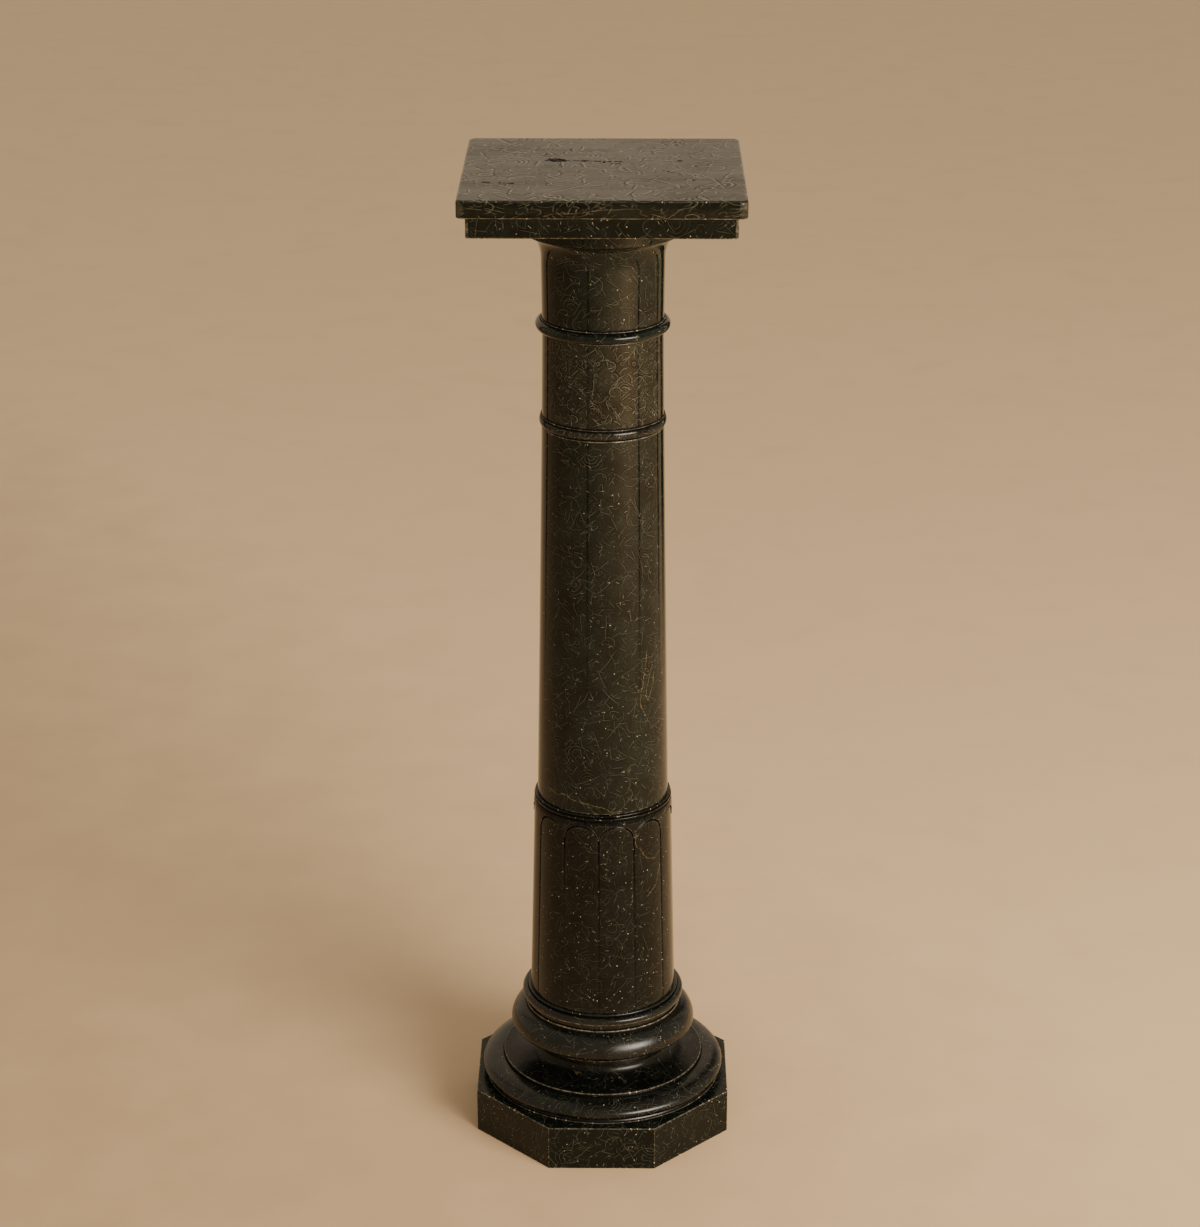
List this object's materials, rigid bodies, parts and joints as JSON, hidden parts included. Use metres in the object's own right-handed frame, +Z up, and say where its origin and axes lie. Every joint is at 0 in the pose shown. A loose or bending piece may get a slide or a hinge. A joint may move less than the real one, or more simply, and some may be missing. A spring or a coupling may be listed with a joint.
{
  "type": "stone pedestal",
  "caption": "Turned pedestal column of dark fossil limestone with a stepped square top, ringed drums, a lobed lower drum, a moulded base and an octagonal plinth.",
  "frame": {"origin": "centre of the plinth's underside, on the floor", "axes": "+Z up along the turned axis; -Y to the front, where one flat of the octagonal plinth and one side of the square top face; +X to the viewer's right"},
  "size_m": [0.285, 0.285, 1.084],
  "materials": {
    "plinth_stone": "honed dark fossil limestone",
    "base_stone": "polished dark fossil limestone",
    "lobed_stone": "polished dark fossil limestone",
    "shaft_stone": "polished dark fossil limestone",
    "neck_stone": "polished brown-black fossil limestone",
    "upper_stone": "polished dark fossil limestone",
    "under_slab_stone": "polished dark fossil limestone",
    "top_slab_stone": "worn polished dark fossil limestone"
  },
  "bodies": {
    "root": {"plinth": "plinth_stone", "moulded_base": "base_stone", "lobed_drum": "lobed_stone", "main_shaft": "shaft_stone", "neck_drum": "neck_stone", "upper_drum": "upper_stone", "under_slab": "under_slab_stone", "top_slab": "top_slab_stone"}
  },
  "joints": []
}
